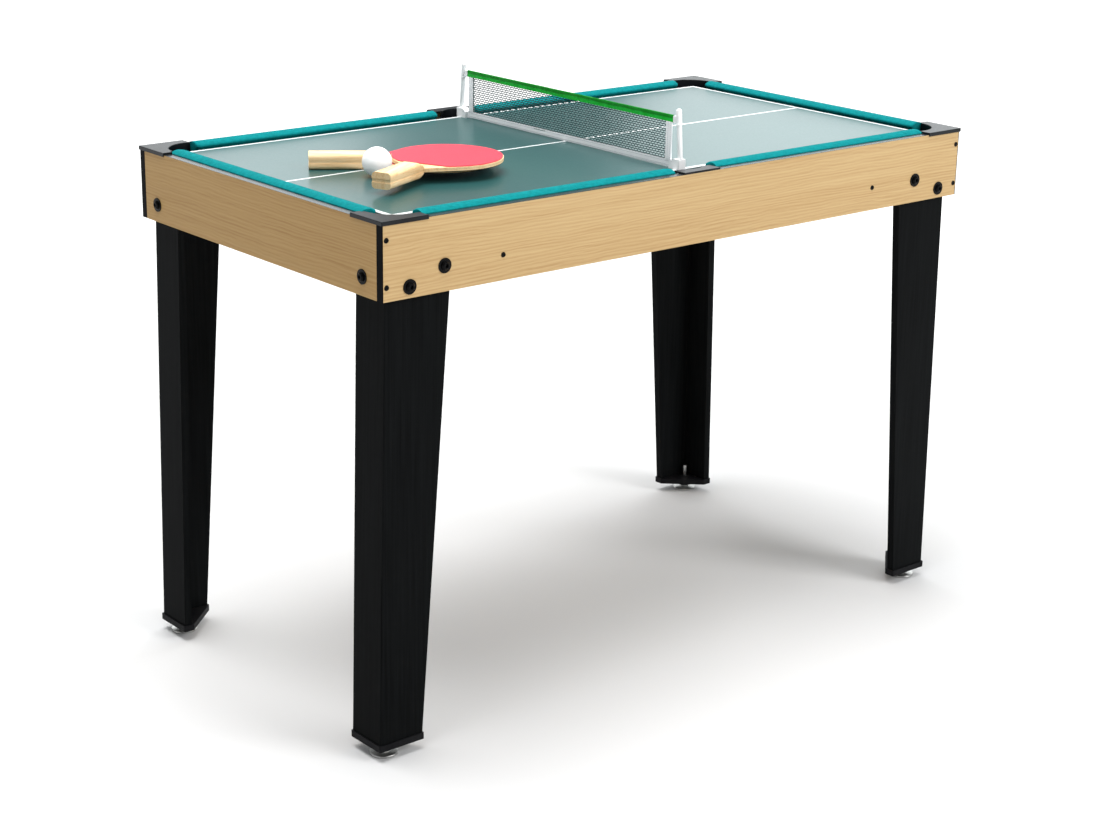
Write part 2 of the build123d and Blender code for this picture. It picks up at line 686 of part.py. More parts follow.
POST_SEAT = JAW_TOP + POST_R * sin(radians(POST_LEAN)) + SEAT_GAP
with BuildPart() as net_posts:
    for sy in LEFT_RIGHT:
        foot = Plane(origin=(0, sy * POST_Y, POST_SEAT))
        axis = foot.rotated((sy * POST_LEAN, 0, 0))
        with BuildSketch(Plane(origin=foot.origin, x_dir=axis.x_dir, z_dir=-axis.y_dir)):
            with BuildLine():
                Polyline(
                    (0, 0),
                    (POST_R, 0),
                    (POST_R, POST - CAP_LENGTH),
                    (CAP_R + CAP_RIM, POST - CAP_LENGTH),
                    (CAP_R + CAP_RIM, POST - CAP_LENGTH + 3 * CAP_RIM),
                    (CAP_R, POST - CAP_LENGTH + 4 * CAP_RIM),
                    (CAP_R, POST - CAP_DOME),
                    (CAP_SHOULDER_R, POST - CAP_DOME / 2),
                    (CAP_FLAT_R, POST),
                    (0, POST),
                    close=True,
                )
            make_face()
        revolve(axis=Axis(foot.origin, axis.z_dir))
        with BuildSketch(Plane.XY.offset(PIN_FOOT)):
            with Locations((0, sy * POST_Y)):
                Circle(PIN_R)
        extrude(amount=POST_SEAT + 1.0 - PIN_FOOT)
        tab_from = TAPE_HALF + TAB_GAP
        tab_to = POST_Y - POST * sin(radians(POST_LEAN))
        with Locations((0, sy * (tab_from + tab_to) / 2, TAPE_FROM + TAB / 2)):
            Box(2 * TAB_HALF, tab_to - tab_from, TAB)
save(net_posts, "net_posts")

MESH_HALF = NET_HALF - BINDING
MESH_FOOT = NET_FOOT + BOTTOM_BINDING
with BuildPart() as net_mesh:
    with Locations((0, 0, (MESH_FOOT + TAPE_FROM) / 2)):
        Box(MESH_THICK, 2 * MESH_HALF, TAPE_FROM - MESH_FOOT)
save(net_mesh, "net_mesh")

with BuildPart() as net_binding:
    with Locations((0, 0, (NET_FOOT + TAPE_FROM) / 2)):
        Box(BINDING_THICK, 2 * NET_HALF, TAPE_FROM - NET_FOOT)
    with Locations((0, 0, (MESH_FOOT + TAPE_FROM) / 2)):
        Box(BINDING_THICK, 2 * MESH_HALF, TAPE_FROM - MESH_FOOT, mode=Mode.SUBTRACT)
save(net_binding, "net_binding")

with BuildPart() as net_tape:
    with BuildSketch(Plane.XZ.offset(-TAPE_HALF)):
        with Locations((0, TAPE_FROM + TAPE / 2)):
            RectangleRounded(TAPE_THICK, TAPE, TAPE_FOLD_R)
    extrude(amount=2 * TAPE_HALF)
save(net_tape, "net_tape")

# ---------------------------------------------------------------- bats and ball


def bat(name, spot, heading, height):
    """One bat on a plane through the middle of its blade: blade, two rubbers, two handle scales."""
    turn = radians(heading)
    middle = Plane(origin=(*spot, height), x_dir=(cos(turn), sin(turn), 0), z_dir=(0, 0, 1))
    tang_half = HANDLE_HALF - TANG_IN
    with BuildPart() as blade:
        with BuildSketch(middle.offset(-BLADE / 2)):
            Circle(BLADE_R)
            with BuildLine():
                Polyline(
                    NECK_TANGENT,
                    (NECK_X, tang_half),
                    (NECK_X, -tang_half),
                    (NECK_TANGENT[0], -NECK_TANGENT[1]),
                    close=True,
                )
            make_face()
            tang_from = HANDLE_END + TANG_IN
            with Locations(((tang_from + HANDLE_NEAR) / 2, 0)):
                Rectangle(HANDLE_NEAR - tang_from, 2 * tang_half)
        extrude(amount=BLADE)
    save(blade, f"bat_blade_{name}")

    with BuildPart() as rubbers:
        for start, depth in ((BLADE / 2, RUBBER), (-BLADE / 2, -RUBBER)):
            with BuildSketch(middle.offset(start)):
                Circle(RUBBER_R)
                with Locations((RUBBER_CHORD - RUBBER_R, 0)):
                    Rectangle(2 * RUBBER_R, 2 * RUBBER_R, mode=Mode.SUBTRACT)
            extrude(amount=depth)
    save(rubbers, f"bat_rubbers_{name}")

    side_on = Plane(
        origin=middle.from_local_coords((0, HANDLE_HALF, 0)),
        x_dir=middle.x_dir,
        z_dir=-middle.y_dir,
    )
    with BuildPart() as scales:
        for up in LEFT_RIGHT:
            with BuildSketch(side_on):
                with BuildLine():
                    Polyline(
                        (HANDLE_END, up * BLADE / 2),
                        (HANDLE_END, up * HANDLE_THICK / 2),
                        (HANDLE_NEAR - HANDLE_SLOPE, up * HANDLE_THICK / 2),
                        (HANDLE_NEAR, up * BLADE / 2),
                        close=True,
                    )
                make_face()
            extrude(amount=2 * HANDLE_HALF)
        flat_length = HANDLE_NEAR - HANDLE_SLOPE - HANDLE_END
        along = scales.edges().filter_by(lambda edge: abs(edge.length - flat_length) < 1.0)
        fillet(along, HANDLE_EDGE_R)
    save(scales, f"bat_handle_{name}")


LOWER_MIDDLE = BOARD_TOP + HANDLE_THICK / 2
bat("lower", LOWER_BAT[0], LOWER_BAT[1], LOWER_MIDDLE)
bat("upper", UPPER_BAT[0], UPPER_BAT[1], LOWER_MIDDLE + BAT_LIFT)

with BuildPart() as ball:
    with Locations((*BALL_XY, BOARD_TOP + BALL_R)):
        Sphere(BALL_R)
        Sphere(BALL_R - BALL_WALL, mode=Mode.SUBTRACT)
save(ball, "ball")
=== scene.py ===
"""Looks for the six-pocket games table with its table tennis board, net, bats and ball.

Metres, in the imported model's own frame: +X along the table, +Y to its back long side, +Z up.
"""

import math

import bmesh
import bpy
from mathutils import Euler, Matrix, Vector, noise


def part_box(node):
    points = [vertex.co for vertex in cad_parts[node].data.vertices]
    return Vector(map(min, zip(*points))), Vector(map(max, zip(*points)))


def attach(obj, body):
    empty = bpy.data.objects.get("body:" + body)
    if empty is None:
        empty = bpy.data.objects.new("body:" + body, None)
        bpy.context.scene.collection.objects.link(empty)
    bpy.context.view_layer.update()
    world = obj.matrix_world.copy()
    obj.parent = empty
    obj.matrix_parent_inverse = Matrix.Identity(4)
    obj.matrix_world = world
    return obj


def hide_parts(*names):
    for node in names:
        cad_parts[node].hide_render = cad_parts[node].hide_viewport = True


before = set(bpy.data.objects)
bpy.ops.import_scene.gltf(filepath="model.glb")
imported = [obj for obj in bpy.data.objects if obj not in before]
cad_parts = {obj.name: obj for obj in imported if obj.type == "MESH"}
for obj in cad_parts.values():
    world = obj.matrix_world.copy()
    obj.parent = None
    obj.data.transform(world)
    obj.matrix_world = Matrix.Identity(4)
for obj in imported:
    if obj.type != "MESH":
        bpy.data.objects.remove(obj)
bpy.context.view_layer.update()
MM = 0.001

SIDES = {"front": -1, "back": 1}
ENDS = {"left": -1, "right": 1}
CORNERS = ("front_left", "front_right", "back_left", "back_right")

# ---------------------------------------------------------------- measures from the frame

side_low, side_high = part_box("side_panel_front")
end_low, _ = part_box("end_panel_left")
HALF_L = -end_low.x
HALF_W = -side_low.y
APRON_TOP = side_high.z
board_low, board_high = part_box("tennis_board")
mesh_low, mesh_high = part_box("net_mesh")
binding_low, binding_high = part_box("net_binding")
tape_low, tape_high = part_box("net_tape")
cloth_low, cloth_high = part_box("bed_cloth")
ball_low, ball_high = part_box("ball")


def middle(node):
    low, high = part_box(node)
    return (low + high) / 2


# ---------------------------------------------------------------- material kit


class Paint:
    """A small builder for one procedural material on a Principled shader.

    Keywords set the shader's own sockets, with _ for a space.
    """

    def __init__(self, name, **sockets):
        self.material = bpy.data.materials.new(name)
        self.material.use_nodes = True
        self.tree = self.material.node_tree
        self.shader = self.tree.nodes["Principled BSDF"]
        for socket, value in sockets.items():
            self.shader.inputs[socket.replace("_", " ")].default_value = value
        self.place = self.tree.nodes.new("ShaderNodeTexCoord").outputs["Object"]

    @classmethod
    def again(cls, material):
        """Carries on painting a material made before."""
        paint = cls.__new__(cls)
        paint.material = material
        paint.tree = material.node_tree
        paint.shader = paint.tree.nodes["Principled BSDF"]
        paint.place = paint.tree.nodes["Texture Coordinate"].outputs["Object"]
        return paint

    def node(self, kind, inputs=None, **settings):
        made = self.tree.nodes.new("ShaderNode" + kind)
        for name, value in settings.items():
            setattr(made, name, value)
        for key, value in (inputs or {}).items():
            self.feed(made.inputs[key], value)
        return made

    def feed(self, socket, value):
        if isinstance(value, bpy.types.NodeSocket):
            self.tree.links.new(value, socket)
        else:
            socket.default_value = value

    def mapped(self, scale, turn=(0, 0, 0), shift=(0, 0, 0)):
        """The object's own coordinates, shifted, turned and then stretched."""
        moved = self.node("Mapping", {"Vector": self.place, "Location": shift, "Rotation": turn})
        return self.node(
            "Mapping", {"Vector": moved.outputs["Vector"], "Scale": scale}
        ).outputs["Vector"]

    def noise(self, vector, detail, rough=0.55, distortion=0.0):
        """Fractal noise; its pitch comes from the scale that the vector was mapped with."""
        return self.node(
            "TexNoise",
            {
                "Vector": vector,
                "Scale": 1.0,
                "Detail": detail,
                "Roughness": rough,
                "Distortion": distortion,
            },
        ).outputs["Fac"]

    def math(self, operation, a, b=0.0):
        return self.node("Math", {0: a, 1: b}, operation=operation).outputs[0]

    def blend(self, *parts):
        """A weighted sum; a part is (factor, weight)."""
        total = None
        for factor, weight in parts:
            share = self.math("MULTIPLY", factor, weight)
            total = share if total is None else self.math("ADD", total, share)
        return total

    def ramp(self, factor, stops):
        """A colour ramp; a stop is (place, colour)."""
        made = self.node("ValToRGB", {"Fac": factor})
        elements = made.color_ramp.elements
        while len(elements) < len(stops):
            elements.new(0.5)
        for element, (place, colour) in zip(elements, stops):
            element.position = place
            element.color = (*colour, 1.0)
        return made.outputs["Color"]

    def spread(self, factor, low, high):
        """Maps a 0 to 1 factor onto low to high."""
        return self.node("MapRange", {"Value": factor, "To Min": low, "To Max": high}).outputs[
            "Result"
        ]

    def mix(self, factor, a, b, blend="MIX"):
        made = self.node("Mix", data_type="RGBA", blend_type=blend)
        for key, value in ((0, factor), (6, a), (7, b)):
            if key and not isinstance(value, bpy.types.NodeSocket):
                value = (*value, 1.0)
            self.feed(made.inputs[key], value)
        return made.outputs[2]

    def colour(self, value):
        self.feed(self.shader.inputs["Base Color"], value)

    def roughness(self, value):
        self.feed(self.shader.inputs["Roughness"], value)

    def bump(self, height, distance, strength=1.0):
        made = self.node("Bump", {"Height": height, "Strength": strength, "Distance": distance})
        self.feed(self.shader.inputs["Normal"], made.outputs["Normal"])

    def done(self):
        return self.material


def dress(material, *nodes):
    """Gives CAD nodes their material."""
    for name in nodes:
        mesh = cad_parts[name].data
        mesh.materials.clear()
        mesh.materials.append(material)


def new_piece(name, mesh, material, body, slot, *stands_for):
    """Links a new mesh as a piece that rides on a body."""
    piece = bpy.data.objects.new(name, mesh)
    bpy.context.scene.collection.objects.link(piece)
    mesh.materials.clear()
    mesh.materials.append(material)
    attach(piece, body)
    if stands_for:
        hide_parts(*stands_for)
    return piece


def soften(node, width, segments):
    """Rounds the sharp edges of a CAD node with a bevel modifier."""
    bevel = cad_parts[node].modifiers.new("soften", "BEVEL")
    bevel.width = width
    bevel.segments = segments
    bevel.limit_method = "ANGLE"
    bevel.angle_limit = math.radians(50)
    bevel.harden_normals = False


def smooth_all(mesh):
    for polygon in mesh.polygons:
        polygon.use_smooth = True


def smooth(mesh, angle):
    """Smooth shading with creases kept."""
    smooth_all(mesh)
    mesh.set_sharp_from_angle(angle=angle)


# ---------------------------------------------------------------- materials


def apron_wood(name, along, painted_shade=(1.0, 1.0, 1.0)):
    """Printed light ash with long straight fibres and thin growth lines, and a dark glossy top edge. The
    last argument scales the wood's colour down: painted shade for panels that face away from the lamps.
    """
    line_pitch = 4.6 * MM
    edge_depth = 0.4 * MM  # how far down the top edge's facing is seen
    paint = Paint(name, Roughness=0.45)

    def stretched(fibre, across):
        return (fibre, across, across) if along == "x" else (across, fibre, across)

    # Scales a colour by the share in the last argument, which darkens the wood as painted shade.
    def with_painted_shade(*colour):
        return tuple(part * share for part, share in zip(colour, painted_shade))

    height = paint.node("SeparateXYZ", {"Vector": paint.place}).outputs["Z"]
    waver = paint.noise(paint.mapped(stretched(2.4, 8.0)), 3.0, 0.5, 0.2)
    shiver = paint.noise(paint.mapped(stretched(15.0, 60.0)), 3.0, 0.6)
    turns = paint.blend((height, 2 * math.pi / line_pitch), (waver, 46.0), (shiver, 11.0))
    lines = paint.node("MapRange", {"Value": paint.math("SINE", turns), "From Min": -1.0})
    fibres = paint.noise(paint.mapped(stretched(9.0, 700.0)), 3.0, 0.6)
    streaks = paint.noise(paint.mapped(stretched(2.0, 190.0)), 3.0, 0.6)
    patches = paint.noise(paint.mapped(stretched(1.5, 16.0)), 2.0, 0.5)
    tone = paint.blend(
        (lines.outputs["Result"], 0.11), (fibres, 0.42), (streaks, 0.34), (patches, 0.13)
    )
    wood = paint.ramp(
        tone,
        (
            (0.34, with_painted_shade(0.400, 0.250, 0.110)),
            (0.48, with_painted_shade(0.478, 0.322, 0.152)),
            (0.62, with_painted_shade(0.530, 0.374, 0.188)),
        ),
    )
    top_edge = paint.math("GREATER_THAN", height, APRON_TOP - edge_depth)
    paint.colour(paint.mix(top_edge, wood, (0.018, 0.020, 0.022)))
    paint.roughness(paint.mix(top_edge, paint.spread(fibres, 0.40, 0.52), (0.22, 0.22, 0.22)))
    paint.feed(paint.shader.inputs["Specular IOR Level"], paint.spread(top_edge, 0.12, 0.32))
    paint.bump(fibres, 0.00005, 0.5)
    return paint.done()


def leg_black():
    """Black foil with a faint upright grain."""
    paint = Paint("leg_black", Roughness=0.5, Specular_IOR_Level=0.02)
    grain = paint.noise(paint.mapped((260.0, 260.0, 6.0)), 4.0, 0.65)
    patches = paint.noise(paint.mapped((5.0, 5.0, 1.6)), 2.0, 0.5)
    tone = paint.blend((grain, 0.7), (patches, 0.3))
    low, high = (0.0026, 0.0029, 0.0031), (0.0070, 0.0078, 0.0082)
    paint.colour(paint.ramp(tone, ((0.36, low), (0.66, high))))
    paint.roughness(paint.spread(grain, 0.42, 0.62))
    paint.bump(grain, 0.00006, 0.5)
    return paint.done()


def moulded(name, low, high, rough, specular=0.35, grain=900.0):
    """Moulded plastic with a fine spark-eroded grain and a slow drift of tone."""
    paint = Paint(name, Roughness=rough, Specular_IOR_Level=specular)
    drift = paint.noise(paint.mapped((22.0, 22.0, 22.0)), 3.0, 0.5)
    fine = paint.noise(paint.mapped((grain, grain, grain)), 2.0, 0.5)
    paint.colour(paint.ramp(drift, ((0.35, low), (0.65, high))))
    paint.roughness(paint.spread(fine, rough - 0.05, rough + 0.07))
    paint.bump(fine, 0.00004, 0.45)
    return paint.done()


def felt(name, low, high):
    """Dense woollen cloth: mottled dye, short fibres and a soft sheen."""
    paint = Paint(
        name,
        Roughness=0.88,
        Specular_IOR_Level=0.06,
        Sheen_Weight=0.05,
        Sheen_Roughness=0.4,
        Sheen_Tint=(0.1, 0.95, 0.95, 1.0),
    )
    mottle = paint.noise(paint.mapped((160.0, 160.0, 160.0)), 4.0, 0.6)
    fibres = paint.noise(paint.mapped((1500.0, 1500.0, 1500.0)), 3.0, 0.7, 1.5)
    tone = paint.blend((mottle, 0.5), (fibres, 0.5))
    paint.colour(paint.ramp(tone, ((0.38, low), (0.62, high))))
    paint.bump(fibres, 0.00025, 0.6)
    return paint.done()


def tennis_paint():
    """Satin dark green board paint, with white border and centre lines on the top face."""
    border = 6.5 * MM
    centre_half = 2.3 * MM
    paint_depth = 1.0 * MM  # how far the lines reach down the board's edge
    paint = Paint("tennis_paint", Roughness=0.2, Specular_IOR_Level=0.5)
    axes = paint.node("SeparateXYZ", {"Vector": paint.place}).outputs
    across = paint.math("ABSOLUTE", axes["Y"])
    length = paint.math("ABSOLUTE", axes["X"])
    end_line = paint.math("GREATER_THAN", length, board_high.x - border)
    side_line = paint.math("GREATER_THAN", across, board_high.y - border)
    centre = paint.math("LESS_THAN", across, centre_half)
    on_top = paint.math("GREATER_THAN", axes["Z"], board_high.z - paint_depth)
    lines = paint.math("MAXIMUM", paint.math("MAXIMUM", end_line, side_line), centre)
    lines = paint.math("MULTIPLY", lines, on_top)
    peel = paint.noise(paint.mapped((420.0, 420.0, 420.0)), 2.0, 0.5)
    drift = paint.noise(paint.mapped((3.0, 3.0, 3.0)), 3.0, 0.5)
    green = paint.ramp(drift, ((0.35, (0.012, 0.066, 0.066)), (0.65, (0.016, 0.078, 0.077))))
    paint.colour(paint.mix(lines, green, (0.70, 0.72, 0.72)))
    paint.roughness(paint.spread(peel, 0.27, 0.34))
    paint.bump(peel, 0.00003, 0.35)
    return paint.done()


def bat_wood(name, heading, level):
    """Pale plywood with grain along the bat, and its darker middle ply showing on the edge."""
    ply_half = 0.8 * MM
    paint = Paint(name, Roughness=0.5, Specular_IOR_Level=0.15)
    turn = (0.0, 0.0, -heading)
    fibres = paint.noise(paint.mapped((14.0, 520.0, 520.0), turn), 3.0, 0.6)
    bands = paint.noise(paint.mapped((5.0, 70.0, 30.0), turn), 3.0, 0.5, 0.6)
    tone = paint.blend((fibres, 0.45), (bands, 0.55))
    wood = paint.ramp(
        tone,
        ((0.36, (0.78, 0.47, 0.22)), (0.50, (0.92, 0.63, 0.34)), (0.64, (0.97, 0.73, 0.45))),
    )
    height = paint.node("SeparateXYZ", {"Vector": paint.place}).outputs["Z"]
    from_middle = paint.math("ABSOLUTE", paint.math("SUBTRACT", height, level))
    ply = paint.math("LESS_THAN", from_middle, ply_half)
    wood = paint.mix(paint.math("MULTIPLY", ply, 0.2), wood, (0.42, 0.26, 0.12))
    paint.colour(wood)
    paint.roughness(paint.spread(fibres, 0.46, 0.58))
    paint.bump(fibres, 0.00004, 0.5)
    return paint.done()


def bat_rubber(name, level, top, under):
    """Pimpled sheets: a fine round dot grid under a dull skin, one colour above and one below."""
    pimple = 2.1 * MM
    paint = Paint(name, Roughness=0.5, Specular_IOR_Level=0.25)
    axes = paint.node("SeparateXYZ", {"Vector": paint.place}).outputs
    waves = []
    for axis in ("X", "Y"):
        turns = paint.math("MULTIPLY", axes[axis], 2 * math.pi / pimple)
        waves.append(paint.math("SINE", turns))
    dots = paint.math("MULTIPLY", waves[0], waves[1])
    drift = paint.noise(paint.mapped((30.0, 30.0, 30.0)), 3.0, 0.5)
    upper = paint.math("GREATER_THAN", axes["Z"], level)
    skin = paint.mix(upper, under, top)
    shade = paint.math("ADD", paint.math("MULTIPLY", drift, 0.25), 0.86)
    shade = paint.math("ADD", shade, paint.math("MULTIPLY", dots, 0.03))
    grey = paint.node("CombineColor", {0: shade, 1: shade, 2: shade}).outputs["Color"]
    paint.colour(paint.mix(1.0, skin, grey, "MULTIPLY"))
    paint.bump(dots, 0.00012, 0.4)
    return paint.done()


def woven(name, low, high, pitch, rough=0.8, sheen=0.15, specular=0.25, shade_above=None):
    """Narrow woven tape or cord of two crossed sets of yarns, darker above a wavering height if given."""
    wander = 2.5 * MM
    soft_half = 0.8 * MM
    shadow = (0.50, 0.50, 0.42)
    paint = Paint(name, Roughness=rough, Specular_IOR_Level=specular, Sheen_Weight=sheen)
    axes = paint.node("SeparateXYZ", {"Vector": paint.place}).outputs
    warp = paint.math("SINE", paint.math("MULTIPLY", axes["Y"], 2 * math.pi / pitch))
    weft = paint.math("SINE", paint.math("MULTIPLY", axes["Z"], 2 * math.pi / pitch))
    weave = paint.math("MULTIPLY", warp, weft)
    drift = paint.noise(paint.mapped((60.0, 60.0, 60.0)), 3.0, 0.6)
    tone = paint.blend((paint.spread(weave, 0.0, 1.0), 0.3), (drift, 0.7))
    dye = paint.ramp(tone, ((0.30, low), (0.70, high)))
    if shade_above is not None:
        waver = paint.spread(paint.noise(paint.mapped((0.0, 14.0, 0.0)), 2.0), -wander, wander)
        seam = paint.math("SUBTRACT", paint.math("SUBTRACT", axes["Z"], waver), shade_above)
        above = paint.node("MapRange", {"Value": seam, "From Min": -soft_half, "From Max": soft_half})
        dark = paint.mix(1.0, dye, shadow, "MULTIPLY")
        dye = paint.mix(above.outputs["Result"], dye, dark)
    paint.colour(dye)
    paint.bump(weave, 0.00012, 0.5)
    return paint.done()


def stitched_tape():
    """White woven binding with two rows of grey stitches that follow its outer edge."""
    stitch_rows = (2.2 * MM, 7.2 * MM)  # in from the outer edge
    stitch_half = 0.45 * MM
    stitch_pitch = 2.6 * MM
    material = woven("net_binding", (0.93, 0.93, 0.95), (0.97, 0.97, 0.98), 0.7 * MM)
    paint = Paint.again(material)
    axes = paint.node("SeparateXYZ", {"Vector": paint.place}).outputs
    up = paint.math("SUBTRACT", axes["Z"], binding_low.z)
    side = paint.math("SUBTRACT", binding_high.y, paint.math("ABSOLUTE", axes["Y"]))
    inward = paint.math("MINIMUM", up, side)
    along = paint.math("ADD", axes["Y"], axes["Z"])
    dash = paint.math("SINE", paint.math("MULTIPLY", along, 2 * math.pi / stitch_pitch))
    dash = paint.math("GREATER_THAN", dash, -0.3)
    rows = []
    for row in stitch_rows:
        off = paint.math("ABSOLUTE", paint.math("SUBTRACT", inward, row))
        rows.append(paint.math("LESS_THAN", off, stitch_half))
    shade = paint.math("MULTIPLY", paint.math("MAXIMUM", *rows), dash)
    shade = paint.math("MULTIPLY", shade, 0.6)
    cloth = paint.shader.inputs["Base Color"].links[0].from_socket
    paint.colour(paint.mix(shade, cloth, (0.42, 0.42, 0.47)))
    return paint.done()


def metal(name, colour, rough):
    """Plated steel: fine turning marks and a patchy bloom on the plating."""
    paint = Paint(name, Roughness=rough, Metallic=1.0)
    marks = paint.noise(paint.mapped((1200.0, 1200.0, 1200.0)), 2.0, 0.5)
    bloom = paint.noise(paint.mapped((90.0, 90.0, 90.0)), 3.0, 0.6)
    dull = tuple(0.78 * c for c in colour)
    paint.colour(paint.ramp(bloom, ((0.35, dull), (0.65, colour))))
    paint.roughness(paint.spread(marks, rough - 0.08, rough + 0.10))
    paint.bump(marks, 0.00003, 0.4)
    return paint.done()


def raw_board():
    """Unfaced chipboard: pale and dark flakes."""
    paint = Paint("raw_board", Roughness=0.85)
    flakes = paint.node(
        "TexVoronoi", {"Vector": paint.mapped((420.0, 420.0, 600.0)), "Scale": 1.0}
    ).outputs["Color"]
    fine = paint.noise(paint.mapped((700.0, 700.0, 700.0)), 3.0, 0.6)
    tone = paint.node("SeparateColor", {"Color": flakes}).outputs[0]
    tone = paint.blend((tone, 0.6), (fine, 0.4))
    paint.colour(paint.ramp(tone, ((0.2, (0.30, 0.19, 0.10)), (0.8, (0.62, 0.46, 0.28)))))
    paint.bump(tone, 0.0002, 0.5)
    return paint.done()


APRON_X = apron_wood("apron_wood_long", "x")
# The short end panels take the same wood darkened to 0.75, 0.69, 0.56 of its colour: painted shade, as
# they face away from the key lamp.
APRON_Y_SHADED = apron_wood("apron_wood_short_painted_shade", "y", (0.75, 0.69, 0.56))
LEG = leg_black()
EDGING = moulded("black_edging", (0.0012, 0.0012, 0.0018), (0.0030, 0.0030, 0.0040), 0.45, 0.025)
PLATE = moulded("plate_plastic", (0.0015, 0.0022, 0.0034), (0.0040, 0.0058, 0.0080), 0.34, 0.20, 500.0)
CUP = moulded("cup_plastic", (0.004, 0.004, 0.005), (0.009, 0.009, 0.010), 0.5, 0.08)
BOLT = moulded("black_steel", (0.0010, 0.0010, 0.0010), (0.0025, 0.0025, 0.0025), 0.26, 0.07, 1500.0)
WHITE = moulded("white_plastic", (0.85, 0.86, 0.87), (0.90, 0.91, 0.91), 0.38, 0.3, 600.0)
BALL = moulded("ball_plastic", (0.94, 0.96, 0.97), (0.96, 0.98, 0.99), 0.45, 0.3, 300.0)
scatter = BALL.node_tree.nodes["Principled BSDF"].inputs
scatter["Subsurface Weight"].default_value = 1.0
scatter["Subsurface Radius"].default_value = (1.0, 1.0, 1.0)
scatter["Subsurface Scale"].default_value = 45.0 * MM
CUSHION = felt("cushion_cloth", (0.001, 0.138, 0.146), (0.002, 0.208, 0.220))
BED = felt("bed_cloth", (0.001, 0.105, 0.110), (0.002, 0.160, 0.165))
ZINC = metal("zinc_steel", (0.62, 0.62, 0.60), 0.32)
RAW = raw_board()
TENNIS = tennis_paint()
TAPE_GREEN = woven(
    "green_tape",
    (0.006, 0.38, 0.022),
    (0.030, 0.62, 0.085),
    0.8 * MM,
    0.5,
    0.0,
    0.08,
    shade_above=(tape_low.z + tape_high.z) / 2,
)
TAPE_WHITE = stitched_tape()
CORD = woven("net_cord", (0.035, 0.070, 0.070), (0.085, 0.140, 0.140), 0.25 * MM, 0.9, 0.0, 0.05)

# ---------------------------------------------------------------- CAD nodes that stay

dress(APRON_X, "side_panel_front", "side_panel_back")
dress(APRON_Y_SHADED, "end_panel_left", "end_panel_right")
dress(EDGING, "edge_strips")
dress(BOLT, "wood_screws", "leg_bolts", "leg_washers")
dress(RAW, "cross_rails", "bed_cleats", "bed_board")
dress(PLATE, "side_plate_front", "side_plate_back")
dress(ZINC, "leg_nuts")
dress(TENNIS, "tennis_board")
dress(WHITE, "net_posts")
for side in SIDES:
    dress(WHITE, f"net_clamp_{side}", f"clamp_screw_{side}")
    dress(CUP, f"pocket_cup_{side}_middle")
for corner in CORNERS:
    dress(PLATE, f"corner_plate_{corner}")
    dress(CUP, f"pocket_cup_{corner}", f"leg_cap_{corner}")
    dress(LEG, f"leg_{corner}")
    dress(ZINC, f"foot_{corner}")


def heading_of(name):
    """Which way a bat points in plan: from the middle of its handle to the middle of its blade."""
    along = middle(f"bat_blade_{name}") - middle(f"bat_handle_{name}")
    return math.atan2(along.y, along.x)


RED = (0.68, 0.034, 0.064)
BLACK = (0.005, 0.005, 0.005)
for bat in ("lower", "upper"):
    level = middle(f"bat_blade_{bat}").z
    ply = bat_wood(f"bat_wood_{bat}", heading_of(bat), level)
    dress(ply, f"bat_blade_{bat}", f"bat_handle_{bat}")
    dress(bat_rubber(f"bat_rubber_{bat}", level, RED, BLACK), f"bat_rubbers_{bat}")
    soften(f"bat_handle_{bat}", 0.8 * MM, 3)
    soften(f"bat_blade_{bat}", 0.5 * MM, 2)

# ---------------------------------------------------------------- ball


def ball_mesh(name):
    """A filled sphere in place of the thin shell, so light spreads through it as through celluloid."""
    bm = bmesh.new()
    bmesh.ops.create_uvsphere(bm, u_segments=64, v_segments=32, radius=(ball_high.x - ball_low.x) / 2)
    bmesh.ops.translate(bm, verts=bm.verts, vec=middle("ball"))
    mesh = bpy.data.meshes.new(name)
    bm.to_mesh(mesh)
    bm.free()
    smooth_all(mesh)
    return mesh


new_piece("ball_body", ball_mesh("ball_body"), BALL, "ball", "ball_plastic", "ball")

# ---------------------------------------------------------------- cushions


def arc(start, through, end, count):
    """Points on the round arc through three points in a plane."""
    (ax, ay), (bx, by), (cx, cy) = start, through, end
    d = 2 * (ax * (by - cy) + bx * (cy - ay) + cx * (ay - by))
    a2, b2, c2 = ax * ax + ay * ay, bx * bx + by * by, cx * cx + cy * cy
    ox = (a2 * (by - cy) + b2 * (cy - ay) + c2 * (ay - by)) / d
    oy = (a2 * (cx - bx) + b2 * (ax - cx) + c2 * (bx - ax)) / d
    radius = math.hypot(ax - ox, ay - oy)
    first = math.atan2(ay - oy, ax - ox)
    last = math.atan2(cy - oy, cx - ox)
    while last > first:
        last -= 2 * math.pi
    turns = [first + (last - first) * i / count for i in range(count + 1)]
    return [(ox + radius * math.cos(t), oy + radius * math.sin(t)) for t in turns]


ROUND_END = 6.0 * MM  # radius of a cushion's two free corners, in plan
ROUND_STEPS = 6
MIDDLE_STEPS = 60
DROOP = 1.1 * MM  # how far the nose sinks at the ends
CLOTH_RIPPLE = 0.10 * MM


def cushion_section(depth, low, high):
    """The cushion's outline clockwise from its foot at the back: offset from the back, and height.

    Every number is a share of the cushion's depth or rise.
    """
    rise = high - low
    back_top = (0.0, low + 0.80 * rise)
    crest = (0.40 * depth, high)
    crown = (0.905 * depth, low + 0.865 * rise)
    nose = (depth, low + 0.735 * rise)
    lip = (0.91 * depth, low + 0.595 * rise)
    outline = [(0.0, low), (0.0, low + 0.40 * rise)]
    outline += arc(back_top, crest, crown, 9)
    outline += arc(crown, nose, lip, 5)[1:]
    outline += [(0.77 * depth, low + 0.33 * rise), (0.565 * depth, low)]
    return outline


